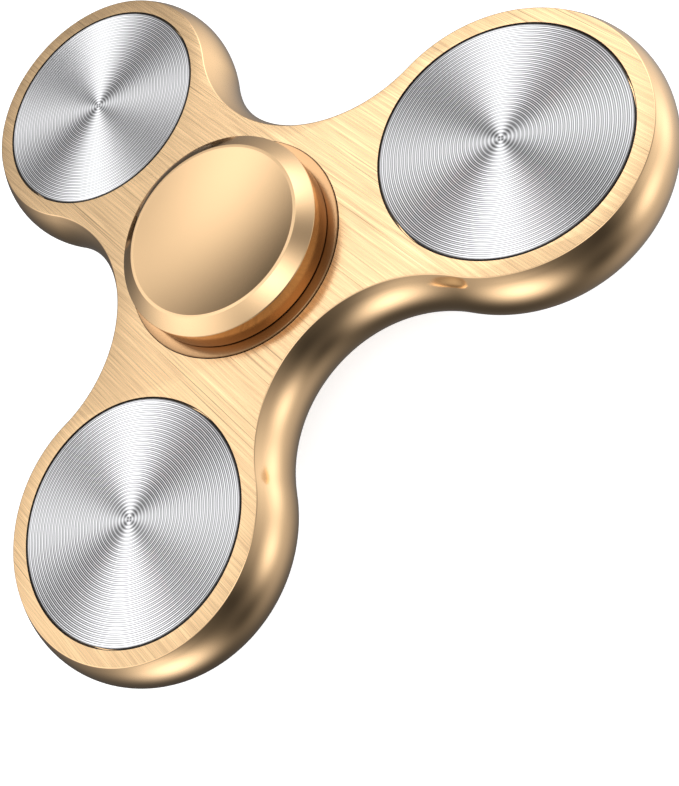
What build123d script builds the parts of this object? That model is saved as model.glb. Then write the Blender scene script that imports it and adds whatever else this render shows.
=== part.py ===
from build123d import *
from math import atan2, cos, degrees, radians, sin
import os

# Three-lobed fidget spinner. All sizes are in millimetres.
# The origin is on the spin axis at mid-thickness, +Z points out of the front face,
# and +X runs through the middle of lobe 1. The back finger cap is what it lies on.

# Frame: a plate with three round lobes, joined by three round waists
lobe_count = 3
lobe_pitch = 360 / lobe_count
lobe_spacing = 26.5
lobe_radius = 12.9
waist_distance = 12.8
frame_thickness = 7.5
side_bulge = 1.2
edge_break = 0.15
side_band = 1.2

# Weighted lobes: a steel slug between two thin turned discs
disc_radius = 11.2
disc_thickness = 0.8
disc_gap = 0.1
weight_radius = 9.0
weight_chamfer = 0.3

# 608 ball bearing: 8 bore, 22 outside diameter, 7 wide
bore_radius = 4.0
bearing_radius = 11.0
bearing_width = 7.0
ball_count = 7
ball_radius = 3.969 / 2
ball_pitch_radius = 7.5
ball_clearance = 0.03
groove_radius = 2.05
inner_shoulder_radius = 6.05
outer_shoulder_radius = 9.05
shield_recess_radius = 9.6
shield_recess_depth = 0.9
shield_inner_radius = 6.3
shield_thickness = 0.3
clip_thickness = 0.35
clip_inner_radius = 9.2
clip_opening = 24
race_chamfer = 0.3

# Crown cage that spaces the balls, open towards the front
cage_inner_radius = 6.95
cage_outer_radius = 8.15
cage_back = -2.45
cage_front = 1.3
pocket_clearance = 0.08

# Retaining rings pressed into the frame over the outer race
ring_inner_radius = 9.75
ring_proud = 0.2
ring_chamfer = 0.08

# Finger caps, given by heights above the frame's face
cap_radius = 10.0
cap_gap = 0.3
cap_bevel_start = 2.7
cap_height = 3.6
cap_land_radius = 8.6
dish_radius = 8.3
dish_depth = 0.8
cap_edge_break = 0.15
spacer_radius = 5.4
spigot_end = 0.3
spigot_chamfer = 0.3

# Threaded stud that draws the two caps together
stud_radius = 2.0
stud_half_length = 2.8
stud_hole_end = 3.1
stud_socket_radius = 0.9
stud_socket_depth = 1.8

half_thickness = frame_thickness / 2
half_width = bearing_width / 2

os.makedirs("parts", exist_ok=True)


def polar_point(radius, angle):
    """A point at a radius and an angle in degrees about the spin axis."""
    return (radius * cos(radians(angle)), radius * sin(radians(angle)))


def write(piece, name):
    """Label a finished piece with its node name and write its STEP file."""
    piece.part.label = name
    export_step(piece.part, f"parts/{name}.step")


# The waist arc touches both lobe arcs: its centre is on the line halfway between two lobes
waist_radius = (
    lobe_spacing**2 - lobe_spacing * waist_distance + waist_distance**2 - lobe_radius**2
) / (2 * lobe_radius - 2 * waist_distance + lobe_spacing)
waist_centre = polar_point(waist_distance + waist_radius, lobe_pitch / 2)
lobe_half_sweep = degrees(atan2(waist_centre[1], waist_centre[0] - lobe_spacing))
waist_half_sweep = lobe_half_sweep - lobe_pitch / 2

with BuildLine() as outline:
    for lobe in range(lobe_count):
        angle = lobe * lobe_pitch
        CenterArc(polar_point(lobe_spacing, angle), lobe_radius, angle, lobe_half_sweep)
        CenterArc(
            polar_point(waist_distance + waist_radius, angle + lobe_pitch / 2),
            waist_radius,
            angle + 180 + lobe_half_sweep,
            -2 * waist_half_sweep,
        )
        CenterArc(
            polar_point(lobe_spacing, angle + lobe_pitch),
            lobe_radius,
            angle + lobe_pitch - lobe_half_sweep,
            lobe_half_sweep,
        )

# Spinner frame: the flat plate, then a barrel-shaped band run round its edge
outline_tip = lobe_spacing + lobe_radius
break_start = half_thickness - edge_break

with BuildPart() as spinner_body:
    with BuildSketch(Plane.XY.offset(-half_thickness)):
        make_face(outline.edges())
        offset(amount=-side_band / 2, mode=Mode.REPLACE)
    extrude(amount=frame_thickness)
    with BuildSketch(Plane.XZ):
        with BuildLine():
            Polyline(
                (outline_tip, -break_start),
                (outline_tip - edge_break, -half_thickness),
                (outline_tip - side_band, -half_thickness),
                (outline_tip - side_band, half_thickness),
                (outline_tip - edge_break, half_thickness),
                (outline_tip, break_start),
            )
            ThreePointArc(
                (outline_tip, break_start),
                (outline_tip + side_bulge, 0),
                (outline_tip, -break_start),
            )
        make_face()
    sweep(path=outline.wires()[0])
    Hole(radius=bearing_radius)
    with PolarLocations(lobe_spacing, lobe_count):
        Hole(radius=weight_radius)
    for side in (-1, 1):
        with BuildSketch(Plane.XY.offset(side * half_thickness)):
            with PolarLocations(lobe_spacing, lobe_count):
                Circle(disc_radius + disc_gap)
        extrude(amount=-side * disc_thickness, mode=Mode.SUBTRACT)
write(spinner_body, "spinner_body")

# Lobe weights and the thin discs that cover them
weight_height = frame_thickness - 2 * disc_thickness
for lobe in range(lobe_count):
    lobe_x, lobe_y = polar_point(lobe_spacing, lobe * lobe_pitch)
    with BuildPart(Plane(origin=(lobe_x, lobe_y, 0))) as weight:
        Cylinder(weight_radius, weight_height)
        chamfer(weight.edges().filter_by(GeomType.CIRCLE), weight_chamfer)
    write(weight, f"weight_{lobe + 1}")
    disc_offset = half_thickness - disc_thickness / 2
    for name, height in (("front_disc", disc_offset), ("back_disc", -disc_offset)):
        with BuildPart(Plane(origin=(lobe_x, lobe_y, height))) as disc:
            Cylinder(disc_radius, disc_thickness)
        write(disc, f"{name}_{lobe + 1}")

# Bearing races: the grooves leave the balls a running clearance
outer_groove_centre = ball_pitch_radius + ball_radius + ball_clearance - groove_radius
inner_groove_centre = ball_pitch_radius - ball_radius - ball_clearance + groove_radius
recess_floor = half_width - shield_recess_depth

with BuildPart() as outer_race:
    with BuildSketch(Plane.XZ):
        with Locations(((outer_shoulder_radius + bearing_radius) / 2, 0)):
            Rectangle(bearing_radius - outer_shoulder_radius, bearing_width)
        with Locations((outer_groove_centre, 0)):
            Circle(groove_radius, mode=Mode.SUBTRACT)
        for side in (-1, 1):
            with Locations((outer_shoulder_radius, side * (half_width + recess_floor) / 2)):
                Rectangle(
                    2 * (shield_recess_radius - outer_shoulder_radius),
                    shield_recess_depth,
                    mode=Mode.SUBTRACT,
                )
    revolve(axis=Axis.Z)
    rim = outer_race.edges().filter_by(GeomType.CIRCLE).group_by(SortBy.RADIUS)[-1]
    chamfer(rim, race_chamfer)
write(outer_race, "outer_race")

with BuildPart() as inner_race:
    with BuildSketch(Plane.XZ):
        with Locations(((bore_radius + inner_shoulder_radius) / 2, 0)):
            Rectangle(inner_shoulder_radius - bore_radius, bearing_width)
        with Locations((inner_groove_centre, 0)):
            Circle(groove_radius, mode=Mode.SUBTRACT)
    revolve(axis=Axis.Z)
    face_edges = inner_race.edges().group_by(Axis.Z)
    bore_rims = [rims.sort_by(SortBy.RADIUS)[0] for rims in (face_edges[0], face_edges[-1])]
    chamfer(bore_rims, race_chamfer)
write(inner_race, "inner_race")

# Crown cage: a ring with one spherical pocket for each ball
with BuildPart() as ball_cage:
    with BuildSketch(Plane.XY.offset(cage_back)):
        Circle(cage_outer_radius)
        Circle(cage_inner_radius, mode=Mode.SUBTRACT)
    extrude(amount=cage_front - cage_back)
    with PolarLocations(ball_pitch_radius, ball_count):
        Sphere(ball_radius + pocket_clearance, mode=Mode.SUBTRACT)
write(ball_cage, "ball_cage")

for ball in range(ball_count):
    ball_x, ball_y = polar_point(ball_pitch_radius, ball * 360 / ball_count)
    with BuildPart(Plane(origin=(ball_x, ball_y, 0))) as bearing_ball:
        Sphere(ball_radius)
    write(bearing_ball, f"ball_{ball + 1}")

# On each side: a shield, the split clip that holds it, and the retaining ring over the race
clip_floor = recess_floor + shield_thickness
ring_top = half_thickness + ring_proud

for name, side in (("front", 1), ("back", -1)):
    with BuildPart() as shield:
        with BuildSketch(Plane.XY.offset(side * recess_floor)):
            Circle(shield_recess_radius)
            Circle(shield_inner_radius, mode=Mode.SUBTRACT)
        extrude(amount=side * shield_thickness)
    write(shield, f"{name}_shield")

    with BuildPart() as clip:
        with BuildSketch(Plane.XY.offset(side * clip_floor)):
            with BuildLine():
                gap = clip_opening / 2
                span = 360 - clip_opening
                CenterArc((0, 0), shield_recess_radius, gap, span)
                CenterArc((0, 0), clip_inner_radius, gap, span)
                Line(polar_point(clip_inner_radius, gap), polar_point(shield_recess_radius, gap))
                Line(polar_point(clip_inner_radius, -gap), polar_point(shield_recess_radius, -gap))
            make_face()
        extrude(amount=side * clip_thickness)
    write(clip, f"{name}_shield_clip")

    with BuildPart() as ring:
        with BuildSketch(Plane.XY.offset(side * half_width)):
            Circle(bearing_radius)
            Circle(ring_inner_radius, mode=Mode.SUBTRACT)
        extrude(amount=side * (ring_top - half_width))
        top_rims = ring.edges().filter_by_position(Axis.Z, side * ring_top, side * ring_top)
        chamfer(top_rims, ring_chamfer)
    write(ring, f"{name}_retaining_ring")

# Finger caps: a bevelled button with a shallow dish, a spacer step that bears on the inner
# race, and a spigot that is pressed into the bearing's bore
cap_floor = half_thickness + cap_gap
cap_top = half_thickness + cap_height
bevel_floor = half_thickness + cap_bevel_start

for name, side in (("front_cap", 1), ("back_cap", -1)):
    with BuildPart() as cap:
        with BuildSketch(Plane.XZ):
            with BuildLine():
                Polyline(
                    (0, side * stud_hole_end),
                    (stud_radius, side * stud_hole_end),
                    (stud_radius, side * spigot_end),
                    (bore_radius - spigot_chamfer, side * spigot_end),
                    (bore_radius, side * (spigot_end + spigot_chamfer)),
                    (bore_radius, side * half_width),
                    (spacer_radius, side * half_width),
                    (spacer_radius, side * cap_floor),
                    (cap_radius - cap_edge_break, side * cap_floor),
                    (cap_radius, side * (cap_floor + cap_edge_break)),
                    (cap_radius, side * bevel_floor),
                    (cap_land_radius, side * cap_top),
                    (dish_radius, side * cap_top),
                )
                dish_sphere_radius = (dish_radius**2 + dish_depth**2) / (2 * dish_depth)
                dish_middle = dish_radius / 2
                dish_rise = dish_sphere_radius - (dish_sphere_radius**2 - dish_middle**2) ** 0.5
                ThreePointArc(
                    (dish_radius, side * cap_top),
                    (dish_middle, side * (cap_top - dish_depth + dish_rise)),
                    (0, side * (cap_top - dish_depth)),
                )
                Line((0, side * (cap_top - dish_depth)), (0, side * stud_hole_end))
            make_face()
        revolve(axis=Axis.Z)
    write(cap, name)

with BuildPart() as cap_stud:
    Cylinder(stud_radius, 2 * stud_half_length)
    with BuildSketch(Plane.XY.offset(stud_half_length)):
        RegularPolygon(stud_socket_radius, 6)
    extrude(amount=-stud_socket_depth, mode=Mode.SUBTRACT)
write(cap_stud, "cap_stud")
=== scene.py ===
from math import atan2, cos, degrees, hypot, pi, radians, sin, sqrt

import bmesh
import bpy
from mathutils import Matrix, Vector
from mathutils.geometry import tessellate_polygon


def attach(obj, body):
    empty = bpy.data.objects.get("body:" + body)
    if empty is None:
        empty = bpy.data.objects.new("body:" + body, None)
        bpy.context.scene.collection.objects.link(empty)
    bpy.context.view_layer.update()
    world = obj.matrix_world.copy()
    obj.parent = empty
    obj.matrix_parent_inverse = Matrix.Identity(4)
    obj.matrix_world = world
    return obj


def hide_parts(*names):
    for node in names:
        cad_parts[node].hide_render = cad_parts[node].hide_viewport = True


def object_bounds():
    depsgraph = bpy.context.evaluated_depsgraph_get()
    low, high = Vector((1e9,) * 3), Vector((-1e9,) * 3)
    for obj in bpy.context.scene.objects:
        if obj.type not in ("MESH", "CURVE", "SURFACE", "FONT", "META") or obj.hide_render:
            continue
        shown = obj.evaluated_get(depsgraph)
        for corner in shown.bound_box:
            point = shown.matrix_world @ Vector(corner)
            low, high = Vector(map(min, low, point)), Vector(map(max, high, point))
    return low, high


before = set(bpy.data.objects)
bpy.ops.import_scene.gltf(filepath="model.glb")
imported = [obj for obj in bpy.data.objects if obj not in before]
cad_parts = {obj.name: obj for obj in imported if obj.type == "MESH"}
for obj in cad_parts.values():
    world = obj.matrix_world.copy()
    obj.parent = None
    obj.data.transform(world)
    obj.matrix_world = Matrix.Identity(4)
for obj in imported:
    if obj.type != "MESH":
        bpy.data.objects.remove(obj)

# Three-lobed fidget spinner. Lengths are in millimetres unless a comment says otherwise, and
# MM turns them into Blender's metres. +Z is the spin axis, +X the middle of lobe 1.
MM = 0.001
cad_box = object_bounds()

# --- Driving dimensions, as in the CAD ------------------------------------------------------
LOBES = 3
LOBE_PITCH = 2 * pi / LOBES
LOBE_SPACING = 26.5
LOBE_RADIUS = 12.9
WAIST_DISTANCE = 12.8
HALF_THICKNESS = 3.75
SIDE_BULGE = 1.2
EDGE_BREAK = 0.15
EDGE_ROUNDING = 0.14
MOUTH_WIDTH = 0.06

DISC_RADIUS = 11.2
DISC_THICKNESS = 0.8
DISC_GAP = 0.1
WEIGHT_RADIUS = 9.0
GROOVE_PITCH = 0.35
GROOVE_DEPTH = 0.02
RIM_WIDTH = 0.05
RIM_DROP = 0.01

BEARING_RADIUS = 11.0
HALF_WIDTH = 3.5
RING_INNER_RADIUS = 9.75
RING_PROUD = 0.2
RING_ROUNDING = 0.08

CAP_RADIUS = 10.0
CAP_GAP = 0.3
CAP_BEVEL_START = 2.7
CAP_HEIGHT = 3.6
CAP_LAND_RADIUS = 8.6
CAP_SKIRT_ROUNDING = 0.05
CAP_SHOULDER_ROUNDING = 0.12
CAP_LAND_ROUNDING = 0.08
# How far below the bevel's start the cap's painted wall shade ends
WALL_SHADE_MARGIN = 0.1
DISH_RADIUS = 8.3
DISH_DEPTH = 0.8
DISH_LIP = 0.1
DISH_LIP_ROUNDING = 0.05
BORE_RADIUS = 4.0
SPACER_RADIUS = 5.4
SPIGOT_END = 0.3
STUD_RADIUS = 2.0
STUD_HOLE_END = 3.1

# How finely the meshes are divided
HOLE_SEGMENTS = 192
DISC_SEGMENTS = 240
CAP_AND_RING_SEGMENTS = 256
LOBE_STEPS = 128
WAIST_STEPS = 64
SIDE_STEPS = 28
DISH_STEPS = 24
GROOVE_STEPS = 6
ROUNDING_STEPS = 5


# --- Mesh helpers ---------------------------------------------------------------------------
def new_piece(name, bm, smooth_angle=30):
    """Turn a finished bmesh, in millimetres, into a smooth-shaded object."""
    bmesh.ops.scale(bm, vec=(MM, MM, MM), verts=bm.verts)
    bmesh.ops.recalc_face_normals(bm, faces=bm.faces)
    mesh = bpy.data.meshes.new(name)
    bm.to_mesh(mesh)
    bm.free()
    mesh.shade_smooth()
    mesh.set_sharp_from_angle(angle=radians(smooth_angle))
    piece = bpy.data.objects.new(name, mesh)
    bpy.context.scene.collection.objects.link(piece)
    return piece


def add_ring(bm, centre, radius, z, segments):
    """A ring of vertices about a vertical axis."""
    return [
        bm.verts.new((centre[0] + radius * cos(a), centre[1] + radius * sin(a), z))
        for a in (2 * pi * i / segments for i in range(segments))
    ]


def bridge(bm, lower, upper, material=0):
    """Join two rings of equal length with a band of quads."""
    count = len(lower)
    for i in range(count):
        j = (i + 1) % count
        face = bm.faces.new((lower[i], lower[j], upper[j], upper[i]))
        face.material_index = material


def fan(bm, ring, z, centre):
    """Close a ring with triangles that meet at a middle point."""
    middle = bm.verts.new((centre[0], centre[1], z))
    count = len(ring)
    for i in range(count):
        bm.faces.new((ring[i], ring[(i + 1) % count], middle))


def arc_points(centre, radius, start, end, steps):
    """Points along an arc in the (r, z) plane, angles in degrees."""
    return [
        (centre[0] + radius * cos(radians(a)), centre[1] + radius * sin(radians(a)))
        for a in (start + (end - start) * i / steps for i in range(steps + 1))
    ]


def rounded(corners, radii):
    """A profile whose corners are rounded with the given radii; 0 keeps a corner sharp."""
    profile = []
    last = len(corners) - 1
    for i, (corner, radius) in enumerate(zip(corners, radii)):
        here = Vector(corner)
        if radius == 0 or i in (0, last):
            profile.append(tuple(here))
            continue
        before = (Vector(corners[i - 1]) - here).normalized()
        after = (Vector(corners[i + 1]) - here).normalized()
        half_angle = before.angle(after) / 2
        reach = radius / sin(half_angle)
        centre = here + (before + after).normalized() * reach
        first = here + before * sqrt(reach**2 - radius**2) - centre
        second = here + after * sqrt(reach**2 - radius**2) - centre
        for step in range(ROUNDING_STEPS + 1):
            blend = first.lerp(second, step / ROUNDING_STEPS).normalized() * radius
            profile.append(tuple(centre + blend))
    return profile


def lathe(bm, profile, segments, centre=(0, 0)):
    """Spin an (r, z) profile about the vertical axis through centre.

    A profile that starts at r = 0 also ends there, and any other one is a loop.
    """
    (first_r, first_z), (last_r, last_z) = profile[0], profile[-1]
    rings = [add_ring(bm, centre, r, z, segments) for r, z in profile if r != 0]
    for lower, upper in zip(rings, rings[1:]):
        bridge(bm, lower, upper)
    if first_r == last_r == 0:
        fan(bm, rings[0], first_z, centre)
        fan(bm, rings[-1], last_z, centre)
    else:
        bridge(bm, rings[-1], rings[0])


# --- Materials ------------------------------------------------------------------------------
GOLD = (0.98, 0.66, 0.37)
GOLD_LIGHT = (0.95, 0.65, 0.365)
# Gold painted darker and more orange for the caps' walls: painted shade and a painted reflection of
# the gold face
GOLD_WALL_SHADE = (0.62, 0.33, 0.13)
# Gold painted darker for the trim rings: painted shade
GOLD_SHADE = (0.34, 0.20, 0.10)
SILVER = (0.5, 0.5, 0.51)
STEEL = (0.55, 0.56, 0.58)
NYLON = (0.75, 0.70, 0.58)
# Near-black painted shadow for the gaps round the openings and the discs
GAP_SHADOW_BLACK = (0.02, 0.017, 0.014)
# The way the brush lines run across the frame
BRUSH_ANGLE = radians(126)
BRUSH_DIRECTION = (cos(BRUSH_ANGLE), sin(BRUSH_ANGLE), 0)
BRUSH_NORMAL = (-sin(BRUSH_ANGLE), cos(BRUSH_ANGLE), 0)
# The noise that makes the brush lines: scales along and across them, and its detail
FINE_LINES = (160, 11000, 2)
BROAD_LINES = (70, 3000, 3)
SCORES = (40, 6500, 1)
BROAD_SHARE = 0.45
# Where the brightest painted highlight wedge of a turned disc lies, and how many painted wedges go
# round it
PAINTED_WEDGE_ANGLE = radians(78)
PAINTED_WEDGE_COUNT = 4
HAIRLINE_SCALE = 260
SATIN_VARIATION = 0.015
# A quarter turn: highlights stretch across the lines that the tangent follows
ACROSS_TANGENT = 0.25


class Nodes:
    """A short way to write a node tree: add returns the node, and the other calls an output."""

    def __init__(self, tree):
        self.tree = tree

    def add(self, kind, inputs=(), **settings):
        """Add a node, set its properties, and set or link its inputs by name or number."""
        node = self.tree.nodes.new(kind)
        for key, value in settings.items():
            setattr(node, key, value)
        for key, value in dict(inputs).items():
            socket = node.inputs[key]
            if isinstance(value, bpy.types.NodeSocket):
                self.tree.links.new(value, socket)
            else:
                socket.default_value = value
        return node

    def math(self, operation, *values):
        return self.add("ShaderNodeMath", enumerate(values), operation=operation).outputs[0]

    def vector(self, operation, *values, output=0):
        node = self.add("ShaderNodeVectorMath", enumerate(values), operation=operation)
        return node.outputs[output]

    def noise(self, vector, scale, detail):
        inputs = {"Vector": vector, "Scale": scale, "Detail": detail}
        return self.add("ShaderNodeTexNoise", inputs).outputs[0]

    def map_range(self, value, low, high, to_low, to_high):
        inputs = enumerate((value, low, high, to_low, to_high))
        return self.add("ShaderNodeMapRange", inputs).outputs[0]

    def vary(self, noise, to_low, to_high):
        """A value that goes from to_low to to_high over the range that most noise is in."""
        return self.map_range(noise, 0.3, 0.7, to_low, to_high)

    def shade(self, colour, factor):
        """A colour multiplied by a number."""
        return self.vector("MULTIPLY", colour, self.combine(factor, factor, factor))

    def combine(self, x, y, z):
        return self.add("ShaderNodeCombineXYZ", enumerate((x, y, z))).outputs[0]

    def bump(self, height, distance):
        """A surface normal tilted by a height from 0 to 1, which stands for a distance in metres."""
        return self.add("ShaderNodeBump", {"Height": height, "Distance": distance}).outputs[0]

    def object_coordinates(self):
        return self.add("ShaderNodeTexCoord").outputs["Object"]


def new_material(name):
    """An empty node material, with its node writer."""
    material = bpy.data.materials.new(name)
    material.use_nodes = True
    material.node_tree.nodes.clear()
    return material, Nodes(material.node_tree)


def close(nodes, inputs):
    """End a material with a Principled shader."""
    shader = nodes.add("ShaderNodeBsdfPrincipled", inputs)
    nodes.add("ShaderNodeOutputMaterial", {"Surface": shader.outputs[0]})


def gold_satin(name, colour, roughness):
    """Anodised gold, fine satin: faint cloudy variation and a microscopic grain."""
    material, nodes = new_material(name)
    place = nodes.object_coordinates()
    cloud = nodes.noise(place, 180, detail=3)
    grain = nodes.noise(place, 9000, detail=1)
    tone = nodes.vary(cloud, 1 - SATIN_VARIATION, 1 + SATIN_VARIATION)
    smoothest, roughest = roughness - SATIN_VARIATION, roughness + SATIN_VARIATION
    close(nodes, {
        "Base Color": nodes.shade(colour, tone),
        "Metallic": 1.0,
        "Roughness": nodes.vary(cloud, smoothest, roughest),
        "Normal": nodes.bump(grain, 0.4e-6),
    })
    return material


def brush_noise(nodes, along, across, detail):
    """Noise drawn out along the brushing direction: scales along and across it."""
    place = nodes.object_coordinates()
    run = nodes.vector("DOT_PRODUCT", place, BRUSH_DIRECTION, output=1)
    side = nodes.vector("DOT_PRODUCT", place, BRUSH_NORMAL, output=1)
    stretched = nodes.combine(
        nodes.math("MULTIPLY", run, along),
        nodes.math("MULTIPLY", side, across),
        0.0,
    )
    return nodes.noise(stretched, 1.0, detail=detail)


def gold_brushed():
    """Anodised gold with straight brush lines across the whole face."""
    material, nodes = new_material("gold_brushed")
    lines = nodes.math(
        "ADD",
        nodes.math("MULTIPLY", brush_noise(nodes, *FINE_LINES), 1 - BROAD_SHARE),
        nodes.math("MULTIPLY", brush_noise(nodes, *BROAD_LINES), BROAD_SHARE),
    )
    tone = nodes.vary(lines, 0.62, 1.12)
    # A few deeper, darker scores, where their noise is at its highest
    score = nodes.map_range(brush_noise(nodes, *SCORES), 0.64, 0.74, 1.0, 0.55)
    scored = nodes.math("MULTIPLY", tone, score)
    tangent = nodes.add(
        "ShaderNodeVectorTransform",
        {0: BRUSH_DIRECTION},
        vector_type="VECTOR",
        convert_from="OBJECT",
        convert_to="WORLD",
    ).outputs[0]
    close(nodes, {
        "Base Color": nodes.shade(GOLD_LIGHT, scored),
        "Metallic": 1.0,
        "Roughness": nodes.vary(lines, 0.30, 0.22),
        "Anisotropic": 0.8,
        "Anisotropic Rotation": ACROSS_TANGENT,
        "Tangent": tangent,
        "Normal": nodes.bump(lines, 3e-6),
    })
    return material


def turned_silver():
    """Bright metal turned on a lathe: hair-fine rings round each piece's own middle, with painted
    shade and glints in the rings and painted highlight wedges.
    """
    material, nodes = new_material("turned_silver")
    generated = nodes.add("ShaderNodeTexCoord").outputs["Generated"]
    centred = nodes.vector("SUBTRACT", generated, (0.5, 0.5, 0.0))
    flat = nodes.vector("MULTIPLY", centred, (1.0, 1.0, 0.0))
    # From 0 at the middle to 0.5 at the edge
    radius = nodes.vector("LENGTH", flat, output=1)
    around = nodes.add("ShaderNodeSeparateXYZ", {0: centred}).outputs
    angle = nodes.math("ARCTAN2", around[1], around[0])
    # Painted highlight wedges, by the angle round the disc
    turn = nodes.math("MULTIPLY", nodes.math("SUBTRACT", angle, PAINTED_WEDGE_ANGLE), PAINTED_WEDGE_COUNT)
    painted_wedges = nodes.math("COSINE", turn)

    # Painted shade and glints of the grooves: rings a groove apart near the middle, and half as far
    # apart towards the edge
    phase = nodes.math("MULTIPLY", radius, 2 * pi * 2 * DISC_RADIUS / GROOVE_PITCH)
    single = nodes.math("COSINE", phase)
    double = nodes.math("COSINE", nodes.math("MULTIPLY", phase, 2.0))
    coarse = nodes.math("MULTIPLY", single, nodes.map_range(radius, 0.05, 0.2, 0.6, 0.3))
    fine = nodes.math("MULTIPLY", double, nodes.map_range(radius, 0.06, 0.16, 0.1, 1.0))
    # They stand out less where the painted highlight wedges are bright
    contrast = nodes.map_range(painted_wedges, -1.0, 1.0, 1.0, 0.45)
    rings = nodes.math("MULTIPLY", nodes.math("ADD", coarse, fine), contrast)

    outward = nodes.combine(nodes.math("MULTIPLY", radius, HAIRLINE_SCALE), 0.0, 0.0)
    hairlines = nodes.noise(outward, 1.0, detail=2)
    lines = nodes.math("ADD", rings, nodes.vary(hairlines, 0.85, 1.15))
    darkest = nodes.math("MAXIMUM", lines, 0.03)
    # Painted highlight: the bright wedges lighten the base colour and the dark wedges darken it
    tone = nodes.math("MULTIPLY", darkest, nodes.map_range(painted_wedges, -1.0, 1.0, 0.66, 1.3))
    tangent = nodes.add("ShaderNodeTangent", direction_type="RADIAL", axis="Z").outputs[0]
    close(nodes, {
        "Base Color": nodes.shade(SILVER, tone),
        "Metallic": 1.0,
        "Roughness": 0.7,
        "Anisotropic": 0.6,
        "Anisotropic Rotation": ACROSS_TANGENT,
        "Tangent": tangent,
    })
    return material


def painted_gap_shadow():
    """Painted shadow for the gaps, near-black and faintly uneven: the seats' walls, the mouths and
    the discs' edges.
    """
    material, nodes = new_material("painted_gap_shadow")
    unevenness = nodes.noise(nodes.object_coordinates(), 1200, detail=2)
    close(nodes, {
        "Base Color": nodes.shade(GAP_SHADOW_BLACK, nodes.vary(unevenness, 0.7, 1.3)),
        "Roughness": nodes.vary(unevenness, 0.6, 0.75),
        "Specular IOR Level": 0.1,
    })
    return material


def machined_steel(name, roughness):
    """Plain ground steel for the hidden weights and bearing parts."""
    material, nodes = new_material(name)
    place = nodes.object_coordinates()
    grind = nodes.noise(nodes.vector("MULTIPLY", place, (1.0, 1.0, 14.0)), 1500, detail=2)
    close(nodes, {
        "Base Color": nodes.shade(STEEL, nodes.vary(grind, 0.9, 1.06)),
        "Metallic": 1.0,
        "Roughness": nodes.vary(grind, roughness - 0.04, roughness + 0.04),
        "Normal": nodes.bump(grind, 1e-6),
    })
    return material


def moulded_nylon():
    """Cream moulded plastic with a fine texture, for the ball cage."""
    material, nodes = new_material("moulded_nylon")
    grain = nodes.noise(nodes.object_coordinates(), 4000, detail=2)
    close(nodes, {
        "Base Color": nodes.shade(NYLON, nodes.vary(grain, 0.94, 1.04)),
        "Roughness": nodes.vary(grain, 0.42, 0.52),
        "Normal": nodes.bump(grain, 4e-6),
    })
    return material


frame_gold = gold_satin("frame_gold", GOLD, 0.1)
cap_gold = gold_satin("cap_gold", GOLD, 0.14)
wall_gold_painted_shade = gold_satin("wall_gold_painted_shade", GOLD_WALL_SHADE, 0.2)
ring_gold_painted_shade = gold_satin("ring_gold_painted_shade", GOLD_SHADE, 0.25)
brushed_gold = gold_brushed()
disc_silver = turned_silver()
gap_shadow_paint = painted_gap_shadow()
weight_steel = machined_steel("weight_steel", 0.4)
bearing_steel = machined_steel("bearing_steel", 0.16)
cage_nylon = moulded_nylon()


# --- Pieces ---------------------------------------------------------------------------------
# Places in each piece's list of materials, after the first
BRUSHED = 1
GAP_SHADOW = 2
# The cap's wall, painted with shade
CAP_WALL_SHADE = 1
DISC_EDGE_SHADOW = 1

# Each waist is an arc that touches its two lobes' arcs: its radius, how far its centre lies
# from the spin axis, and half the angle that each arc of the outline sweeps
waist_radius = (
    LOBE_SPACING**2 - LOBE_SPACING * WAIST_DISTANCE + WAIST_DISTANCE**2 - LOBE_RADIUS**2
) / (2 * LOBE_RADIUS - 2 * WAIST_DISTANCE + LOBE_SPACING)
waist_reach = WAIST_DISTANCE + waist_radius
lobe_half_sweep = atan2(
    waist_reach * sin(LOBE_PITCH / 2), waist_reach * cos(LOBE_PITCH / 2) - LOBE_SPACING
)
waist_half_sweep = lobe_half_sweep - LOBE_PITCH / 2


def lobe_centre(lobe):
    """The middle of a lobe, counted from 0."""
    angle = lobe * LOBE_PITCH
    return (LOBE_SPACING * cos(angle), LOBE_SPACING * sin(angle))


def outline(offset):
    """Points round the frame's outline, moved outwards by offset."""
    points = []
    for lobe in range(LOBES):
        angle = lobe * LOBE_PITCH
        x, y = lobe_centre(lobe)
        for i in range(LOBE_STEPS):
            a = angle - lobe_half_sweep + 2 * lobe_half_sweep * i / LOBE_STEPS
            r = LOBE_RADIUS + offset
            points.append((x + r * cos(a), y + r * sin(a)))
        waist_angle = angle + LOBE_PITCH / 2
        x, y = waist_reach * cos(waist_angle), waist_reach * sin(waist_angle)
        for i in range(WAIST_STEPS):
            a = waist_angle + pi + waist_half_sweep * (1 - 2 * i / WAIST_STEPS)
            r = waist_radius - offset
            points.append((x + r * cos(a), y + r * sin(a)))
    return points


def side_profile():
    """The frame's side from the front face to the back face, as (offset, z)."""
    break_z = HALF_THICKNESS - EDGE_BREAK
    barrel_radius = (break_z**2 + SIDE_BULGE**2) / (2 * SIDE_BULGE)
    half_angle = degrees(atan2(break_z, barrel_radius - SIDE_BULGE))
    barrel_centre = (SIDE_BULGE - barrel_radius, 0)
    barrel = arc_points(barrel_centre, barrel_radius, half_angle, -half_angle, SIDE_STEPS)
    inner_edge = EDGE_BREAK * 2
    corners = [(-inner_edge, HALF_THICKNESS), (-EDGE_BREAK / 2, HALF_THICKNESS), barrel[1]]
    front = rounded(corners, (0, EDGE_ROUNDING, 0))[1:]
    back = [(offset, -z) for offset, z in reversed(front)]
    return front + barrel[2:-2] + back


def plate_face(bm, rim, holes):
    """Fill a flat face between its rim and its round holes."""
    loops = [rim] + holes
    verts = [v for loop in loops for v in loop]
    for triangle in tessellate_polygon([[v.co for v in loop] for loop in loops]):
        face = bm.faces.new([verts[i] for i in triangle])
        face.material_index = BRUSHED


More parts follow.
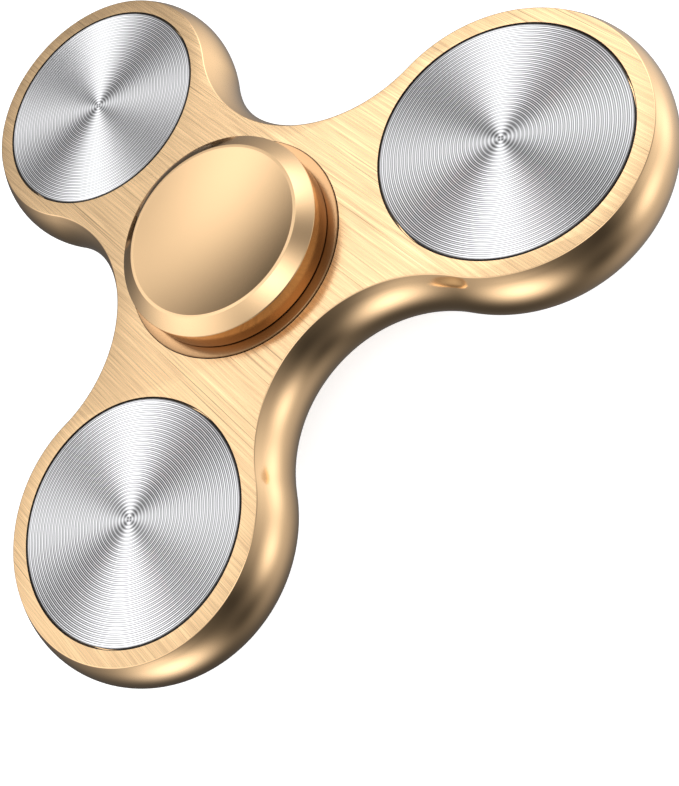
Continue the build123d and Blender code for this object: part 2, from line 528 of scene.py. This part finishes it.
def make_frame():
    """The spinner frame: brushed faces, a barrel-shaped side, the bore and the disc seats."""
    bm = bmesh.new()
    rows = []
    for offset, z in side_profile():
        rows.append([bm.verts.new((x, y, z)) for x, y in outline(offset)])
    for upper, lower in zip(rows, rows[1:]):
        bridge(bm, lower, upper)
    seat_radius = DISC_RADIUS + DISC_GAP
    openings = [((0, 0), BEARING_RADIUS)]
    openings += [(lobe_centre(lobe), seat_radius) for lobe in range(LOBES)]
    mouths = {}
    for side, rim in ((1, rows[0]), (-1, rows[-1])):
        face_z = side * HALF_THICKNESS
        mouth_z = side * (HALF_THICKNESS - MOUTH_WIDTH)
        holes = [
            add_ring(bm, centre, radius + MOUTH_WIDTH, face_z, HOLE_SEGMENTS)
            for centre, radius in openings
        ]
        plate_face(bm, rim, holes)
        mouths[side] = []
        for hole, (centre, radius) in zip(holes, openings):
            inner = add_ring(bm, centre, radius, mouth_z, HOLE_SEGMENTS)
            # The mouth is painted with the gap's shadow
            bridge(bm, hole, inner, material=GAP_SHADOW)
            mouths[side].append(inner)
    bridge(bm, mouths[1][0], mouths[-1][0])
    seat_z = HALF_THICKNESS - DISC_THICKNESS
    for lobe in range(LOBES):
        centre = lobe_centre(lobe)
        front_seat = add_ring(bm, centre, seat_radius, seat_z, HOLE_SEGMENTS)
        front_step = add_ring(bm, centre, WEIGHT_RADIUS, seat_z, HOLE_SEGMENTS)
        back_step = add_ring(bm, centre, WEIGHT_RADIUS, -seat_z, HOLE_SEGMENTS)
        back_seat = add_ring(bm, centre, seat_radius, -seat_z, HOLE_SEGMENTS)
        # The seat's walls are painted with the gap's shadow
        bridge(bm, mouths[1][lobe + 1], front_seat, material=GAP_SHADOW)
        bridge(bm, front_seat, front_step)
        bridge(bm, front_step, back_step)
        bridge(bm, back_step, back_seat)
        bridge(bm, back_seat, mouths[-1][lobe + 1], material=GAP_SHADOW)
    return new_piece("frame_body", bm)


def cap_profile(side):
    """The finger cap in the (r, z) plane, from the stud hole's end round to the dish."""
    face = HALF_THICKNESS
    floor, top, bevel = face + CAP_GAP, face + CAP_HEIGHT, face + CAP_BEVEL_START
    dish_sphere = (DISH_RADIUS**2 + DISH_DEPTH**2) / (2 * DISH_DEPTH)
    dish = []
    for i in range(DISH_STEPS + 1):
        r = (DISH_RADIUS - DISH_LIP) * (1 - i / DISH_STEPS)
        dish.append((r, top - DISH_DEPTH + dish_sphere - sqrt(dish_sphere**2 - r**2)))
    corners = [
        (0, STUD_HOLE_END),
        (STUD_RADIUS, STUD_HOLE_END),
        (STUD_RADIUS, SPIGOT_END),
        (BORE_RADIUS, SPIGOT_END),
        (BORE_RADIUS, HALF_WIDTH),
        (SPACER_RADIUS, HALF_WIDTH),
        (SPACER_RADIUS, floor),
        (CAP_RADIUS, floor),
        (CAP_RADIUS, bevel),
        (CAP_LAND_RADIUS, top),
        (DISH_RADIUS, top),
        dish[0],
    ]
    sharp_corners = [0] * 7
    soft_corners = [CAP_SKIRT_ROUNDING, CAP_SHOULDER_ROUNDING, CAP_LAND_ROUNDING, DISH_LIP_ROUNDING]
    radii = sharp_corners + soft_corners + [0]
    return [(r, side * z) for r, z in rounded(corners, radii) + dish[1:]]


def make_cap(name, side):
    """A finger cap on the front (side 1) or the back (side -1)."""
    bm = bmesh.new()
    lathe(bm, cap_profile(side), CAP_AND_RING_SEGMENTS)
    # The wall, up to just below the bevel, is painted with shade
    shade_top = HALF_THICKNESS + CAP_BEVEL_START - WALL_SHADE_MARGIN
    for face in bm.faces:
        if abs(face.calc_center_median().z) < shade_top:
            face.material_index = CAP_WALL_SHADE
    return new_piece(name, bm)


def make_ring(name, side):
    """The retaining ring that is pressed in over the outer race."""
    top = HALF_THICKNESS + RING_PROUD
    corners = [
        (RING_INNER_RADIUS, HALF_WIDTH),
        (BEARING_RADIUS, HALF_WIDTH),
        (BEARING_RADIUS, top),
        (RING_INNER_RADIUS, top),
        (RING_INNER_RADIUS, (top + HALF_WIDTH) / 2),
    ]
    profile = rounded(corners, (0, 0, RING_ROUNDING, RING_ROUNDING, 0))
    bm = bmesh.new()
    lathe(bm, [(r, side * z) for r, z in profile], CAP_AND_RING_SEGMENTS)
    return new_piece(name, bm)


def make_disc(name, lobe, side):
    """A thin disc with its turned grooves cut as real rings."""
    bottom = HALF_THICKNESS - DISC_THICKNESS
    top = HALF_THICKNESS
    rim = DISC_RADIUS - RIM_WIDTH
    groove_count = int(rim / GROOVE_PITCH)
    profile = [
        (0, bottom),
        (DISC_RADIUS, bottom),
        (DISC_RADIUS, top - RIM_WIDTH),
        (rim, top - RIM_DROP),
    ]
    outermost = groove_count * GROOVE_PITCH
    for i in range(groove_count * GROOVE_STEPS):
        r = outermost - i * GROOVE_PITCH / GROOVE_STEPS
        wave = 0.5 - 0.5 * cos(2 * pi * i / GROOVE_STEPS)
        profile.append((r, top - GROOVE_DEPTH * wave))
    profile.append((0, top))
    bm = bmesh.new()
    lobe_x, lobe_y = lobe_centre(lobe)
    lathe(bm, [(r, side * z) for r, z in profile], DISC_SEGMENTS, centre=(lobe_x, lobe_y))
    # The disc's edge beyond its rim is painted with the gap's shadow
    for face in bm.faces:
        middle = face.calc_center_median()
        if hypot(middle.x - lobe_x, middle.y - lobe_y) > rim:
            face.material_index = DISC_EDGE_SHADOW
    return new_piece(name, bm, smooth_angle=50)


def finish_piece(piece, node, body, slot, *materials):
    """Give a piece its materials, hide the CAD node that it stands for, and attach it to the body
    that it rides with.
    """
    for material in materials:
        piece.data.materials.append(material)
    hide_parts(node)
    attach(piece, body)


rings = []
discs = []
frame_piece = make_frame()
frame_materials = (frame_gold, brushed_gold, gap_shadow_paint)
finish_piece(frame_piece, "spinner_body", "rotor", "gold_frame", *frame_materials)
for side_name, side in (("front", 1), ("back", -1)):
    cap = make_cap(f"{side_name}_finger_cap", side)
    finish_piece(cap, f"{side_name}_cap", "finger_caps", "gold_cap", cap_gold, wall_gold_painted_shade)
    ring = make_ring(f"{side_name}_trim_ring", side)
    finish_piece(ring, f"{side_name}_retaining_ring", "rotor", "gold_ring", ring_gold_painted_shade)
    rings.append(ring)
    for lobe in range(LOBES):
        disc = make_disc(f"{side_name}_turned_disc_{lobe + 1}", lobe, side)
        node_name = f"{side_name}_disc_{lobe + 1}"
        finish_piece(disc, node_name, "rotor", "turned_disc", disc_silver, gap_shadow_paint)
        disc.visible_glossy = False
        discs.append(disc)

# The CAD nodes, of which only the ones that no piece stands for are seen
for name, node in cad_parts.items():
    if name.startswith("weight"):
        finish = weight_steel
    elif name == "ball_cage":
        finish = cage_nylon
    else:
        finish = bearing_steel
    node.data.materials.clear()
    node.data.materials.append(finish)


# --- Studio ---------------------------------------------------------------------------------
# Soft lamps that the metal reflects: azimuth, elevation, sharpness (higher is smaller), strength
LAMPS = {
    "left_strip": (-110, -20, 18, 1.7),
    "right_wash": (35, 0, 2.3, 1.05),
    "front_strip": (-20, -20, 28, 1.0),
    "front_box": (-40, 65, 16, 2.4),
    "right_box": (60, 45, 15, 2.5),
    "back_box": (135, 50, 24, 0.95),
    "left_wash": (-165, 40, 4, 1.3),
    "floor_glow": (-25, -50, 12, 0.25),
    "right_strip": (15, -20, 30, 0.7),
}
# Black cards that dim the lamps behind them: azimuth, elevation, sharpness, share taken away
CARDS = {
    "front_card": (-55, 5, 26, 0.6),
    "front_low_card": (-60, -30, 30, 0.5),
    "right_card": (15, 55, 6, 0.67),
    "back_card": (130, 15, 10, 0.98),
}
AMBIENT = 0.02
WHITE = (1, 1, 1, 1)
FLOOR_COLOUR = (0.8, 0.8, 0.8, 1)
# The floor's own light, which brings it near the white of the backdrop
FLOOR_LIGHT = 0.75
# In metres
FLOOR_HALF_SIZE = 3.0
# A first reflection sees the world at ray depth 1 or 2, and later ones at 3 and more
FIRST_REFLECTION_DEPTH = 2.5
# What only reflections of reflections see: one more soft lamp, with a cool tint, and two cards
SECOND_LAMP = (-45, 12, 4, 0.75)
SECOND_TINT = (0.75, 1.0, 1.45, 1.0)
SECOND_CARDS = {
    "front_second_card": (-50, 50, 10, 0.45),
    "back_second_card": (125, 25, 6, 0.65),
}
# Lamps that light one kind of piece only: azimuth, elevation, angular size, strength. Those
# for the undersides of the discs and for the frame give no shadows.
DISC_LAMPS = {
    "disc_key": (-125, 33, 75, 4.6),
    "disc_fill": (32, 41, 30, 0.75),
}
UNDER_LAMPS = {
    "under_key": (-125, -35, 75, 3.8),
    "under_fill": (35, -40, 30, 0.8),
}
FACE_LAMPS = {
    "face_key": (106, 52, 24, 0.13),
    "face_low": (125, 30, 20, 0.035),
}
RING_LAMPS = {
    "ring_key": (118, 48, 27, 0.48),
    "ring_front": (-55, 49, 40, 0.35),
}


def direction(azimuth, elevation):
    """A unit vector from an azimuth and an elevation in degrees."""
    a, e = radians(azimuth), radians(elevation)
    return (cos(a) * cos(e), sin(a) * cos(e), sin(e))


def add_world():
    """The studio round the object, as soft lamps and black cards, and a white backdrop."""
    world = bpy.data.worlds.new("studio")
    bpy.context.scene.world = world
    world.use_nodes = True
    world.node_tree.nodes.clear()
    nodes = Nodes(world.node_tree)
    ray = nodes.add("ShaderNodeTexCoord").outputs["Generated"]

    def spot(azimuth, elevation, sharpness, strength):
        """A number that is strength in one direction and fades away from it."""
        closeness = nodes.vector("DOT_PRODUCT", ray, direction(azimuth, elevation), output=1)
        drop = nodes.math("MULTIPLY", nodes.math("SUBTRACT", closeness, 1.0), sharpness)
        return nodes.math("MULTIPLY", nodes.math("EXPONENT", drop), strength)

    glow = AMBIENT
    for lamp in LAMPS.values():
        glow = nodes.math("ADD", glow, spot(*lamp))
    for card in CARDS.values():
        glow = nodes.math("MULTIPLY", glow, nodes.math("SUBTRACT", 1.0, spot(*card)))
    path = nodes.add("ShaderNodeLightPath").outputs
    again = nodes.math("GREATER_THAN", path["Ray Depth"], FIRST_REFLECTION_DEPTH)
    for card in SECOND_CARDS.values():
        dimmed = nodes.math("MULTIPLY", again, spot(*card))
        glow = nodes.math("MULTIPLY", glow, nodes.math("SUBTRACT", 1.0, dimmed))
    backdrop = nodes.add("ShaderNodeBackground", {"Color": WHITE, "Strength": 1.0})
    first = nodes.add("ShaderNodeBackground", {"Color": WHITE, "Strength": glow})
    extra = nodes.math("MULTIPLY", again, spot(*SECOND_LAMP))
    second = nodes.add("ShaderNodeBackground", {"Color": SECOND_TINT, "Strength": extra})
    studio = nodes.add("ShaderNodeAddShader", {0: first.outputs[0], 1: second.outputs[0]})
    inputs = {0: path["Is Camera Ray"], 1: studio.outputs[0], 2: backdrop.outputs[0]}
    seen = nodes.add("ShaderNodeMixShader", inputs)
    nodes.add("ShaderNodeOutputWorld", {"Surface": seen.outputs[0]})


def add_lamps(lamps, pieces, shadows=True):
    """Soft lamps that light only the given pieces, with or without shadows on them."""
    receivers = bpy.data.collections.new(next(iter(lamps)) + "_receivers")
    for piece in pieces:
        receivers.objects.link(piece)
    for name, (azimuth, elevation, spread, strength) in lamps.items():
        data = bpy.data.lights.new(name, "SUN")
        data.energy = strength
        data.angle = radians(spread)
        data.use_shadow = shadows
        lamp = bpy.data.objects.new(name, data)
        bpy.context.scene.collection.objects.link(lamp)
        lamp.rotation_mode = "QUATERNION"
        lamp.rotation_quaternion = Vector(direction(azimuth, elevation)).to_track_quat("Z", "Y")
        lamp.light_linking.receiver_collection = receivers


def add_floor():
    """A plain pale floor under the back cap: clear from below, and not in the reflections."""
    bm = bmesh.new()
    size = FLOOR_HALF_SIZE
    corners = ((-size, -size), (size, -size), (size, size), (-size, size))
    bm.faces.new([bm.verts.new((x, y, cad_box[0].z)) for x, y in corners])
    mesh = bpy.data.meshes.new("floor")
    bm.to_mesh(mesh)
    bm.free()
    floor = bpy.data.objects.new("floor", mesh)
    bpy.context.scene.collection.objects.link(floor)
    material, nodes = new_material("pale_floor")
    diffuse = nodes.add("ShaderNodeBsdfDiffuse", {"Color": FLOOR_COLOUR})
    light = nodes.add("ShaderNodeEmission", {"Color": WHITE, "Strength": FLOOR_LIGHT})
    pale = nodes.add("ShaderNodeAddShader", {0: diffuse.outputs[0], 1: light.outputs[0]})
    clear = nodes.add("ShaderNodeBsdfTransparent")
    below = nodes.add("ShaderNodeNewGeometry").outputs["Backfacing"]
    seen = nodes.add("ShaderNodeMixShader", {0: below, 1: pale.outputs[0], 2: clear.outputs[0]})
    nodes.add("ShaderNodeOutputMaterial", {"Surface": seen.outputs[0]})
    mesh.materials.append(material)
    floor.visible_glossy = False


add_world()
add_lamps(DISC_LAMPS, discs)
add_lamps(UNDER_LAMPS, discs, shadows=False)
add_lamps(FACE_LAMPS, [frame_piece], shadows=False)
add_lamps(RING_LAMPS, rings)
add_floor()


# --- Camera ---------------------------------------------------------------------------------
CAMERA_DISTANCE = 105.1
CAMERA_AZIMUTH = -55.02
CAMERA_ELEVATION = 48.84
CAMERA_TARGET = (8.30, -17.85)
CAMERA_ROLL = 53.02
CAMERA_LENS = 51.44
CAMERA_SENSOR = 36
# The nearest and farthest that it sees, in metres
CAMERA_CLIP = (0.001, 10)


def add_camera():
    """A camera aimed at a point of the front face and rolled about its own axis."""
    azimuth, elevation = radians(CAMERA_AZIMUTH), radians(CAMERA_ELEVATION)
    reach = CAMERA_DISTANCE * cos(elevation)
    place = Vector((
        reach * cos(azimuth),
        reach * sin(azimuth),
        HALF_THICKNESS + CAMERA_DISTANCE * sin(elevation),
    ))
    target = Vector((*CAMERA_TARGET, HALF_THICKNESS))
    data = bpy.data.cameras.new("camera")
    data.sensor_width = CAMERA_SENSOR
    data.lens = CAMERA_LENS
    data.clip_start, data.clip_end = CAMERA_CLIP
    camera = bpy.data.objects.new("camera", data)
    bpy.context.scene.collection.objects.link(camera)
    camera.location = place * MM
    aim = (target - place).to_track_quat("-Z", "Y").to_matrix().to_4x4()
    turn = aim @ Matrix.Rotation(radians(-CAMERA_ROLL), 4, "Z")
    camera.rotation_mode = "QUATERNION"
    camera.rotation_quaternion = turn.to_quaternion()
    bpy.context.scene.camera = camera


add_camera()
bpy.context.scene.view_settings.view_transform = "Standard"
